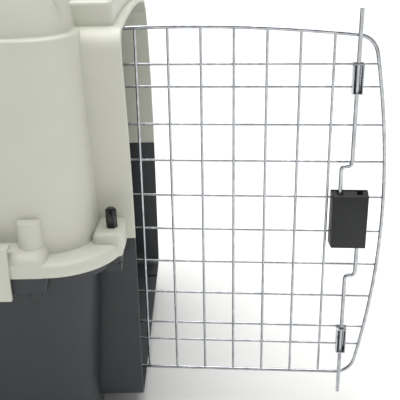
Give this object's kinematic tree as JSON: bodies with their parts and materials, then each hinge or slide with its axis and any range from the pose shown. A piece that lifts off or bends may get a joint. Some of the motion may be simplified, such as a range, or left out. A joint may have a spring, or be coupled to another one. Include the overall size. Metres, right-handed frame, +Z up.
{
  "type": "pet transport carrier",
  "caption": "Two-shell plastic pet carrier with a swinging wire door, squeeze rod latch, side clips and a folding top handle.",
  "frame": {"origin": "middle of the base's underside, on the surface that the carrier stands on", "axes": "+X towards the door end, +Y to the carrier's far side (the latch side of the shut door), +Z up"},
  "size_m": [0.8859, 0.4582, 0.473],
  "materials": {
    "light_plastic": "satin moulded, light warm grey",
    "charcoal_plastic": "satin moulded, charcoal",
    "black_plastic": "fine matte, near black",
    "gloss_black_plastic": "glossy black",
    "bright_wire": "bright zinc plated wire",
    "steel_fastener": "plain plated steel"
  },
  "bodies": {
    "carrier": {"upper_shell": "light_plastic", "lower_shell": "charcoal_plastic", "clip_pins": "steel_fastener", "corner_plugs": "gloss_black_plastic", "plug_nuts": "charcoal_plastic", "handle_brackets": "light_plastic", "handle_pins": "steel_fastener", "handle_screws": "steel_fastener"},
    "door": {"door_edge_wire": "bright_wire", "door_upright_wires": "bright_wire", "door_cross_wires": "bright_wire", "hinge_rod": "bright_wire", "upper_rod_guide": "bright_wire", "lower_rod_guide": "bright_wire", "latch_case": "black_plastic", "latch_back_plate": "black_plastic", "latch_screws": "steel_fastener", "upper_rod_spring": "steel_fastener", "lower_rod_spring": "steel_fastener"},
    "upper_rod": {"upper_latch_rod": "bright_wire", "upper_rod_shuttle": "black_plastic"},
    "lower_rod": {"lower_latch_rod": "bright_wire", "lower_rod_shuttle": "black_plastic"},
    "clip_front_near": {"clip_front_near": "light_plastic"},
    "clip_front_far": {"clip_front_far": "light_plastic"},
    "clip_rear_near": {"clip_rear_near": "light_plastic"},
    "clip_rear_far": {"clip_rear_far": "light_plastic"},
    "handle": {"carry_handle": "black_plastic"}
  },
  "joints": [
    {"name": "door_swing", "type": "hinge", "parent": "carrier", "child": "door", "pos_m": [0.319, -0.1064, 0], "axis": [0, 0, 1], "range_deg": [-15, 94.4]},
    {"name": "upper_rod_slide", "type": "slide", "parent": "door", "child": "upper_rod", "axis": [0, 0, 1], "range_m": [-0.019, 0.008], "stiffness_N_per_m": 120, "deforming": ["upper_rod_spring"]},
    {"name": "lower_rod_slide", "type": "slide", "parent": "door", "child": "lower_rod", "axis": [0, 0, 1], "range_m": [-0.008, 0.024], "stiffness_N_per_m": 120, "deforming": ["lower_rod_spring"]},
    {"name": "clip_front_near_swing", "type": "hinge", "parent": "carrier", "child": "clip_front_near", "pos_m": [0, -0.2195, 0.188], "axis": [1, 0, 0], "range_deg": [0, 95]},
    {"name": "clip_front_far_swing", "type": "hinge", "parent": "carrier", "child": "clip_front_far", "pos_m": [0, 0.2195, 0.188], "axis": [-1, 0, 0], "range_deg": [0, 95]},
    {"name": "clip_rear_near_swing", "type": "hinge", "parent": "carrier", "child": "clip_rear_near", "pos_m": [0, -0.2195, 0.188], "axis": [1, 0, 0], "range_deg": [0, 95]},
    {"name": "clip_rear_far_swing", "type": "hinge", "parent": "carrier", "child": "clip_rear_far", "pos_m": [0, 0.2195, 0.188], "axis": [-1, 0, 0], "range_deg": [0, 95]},
    {"name": "handle_fold", "type": "hinge", "parent": "carrier", "child": "handle", "pos_m": [0, 0, 0.464], "axis": [1, 0, 0], "range_deg": [0, 180]}
  ]
}
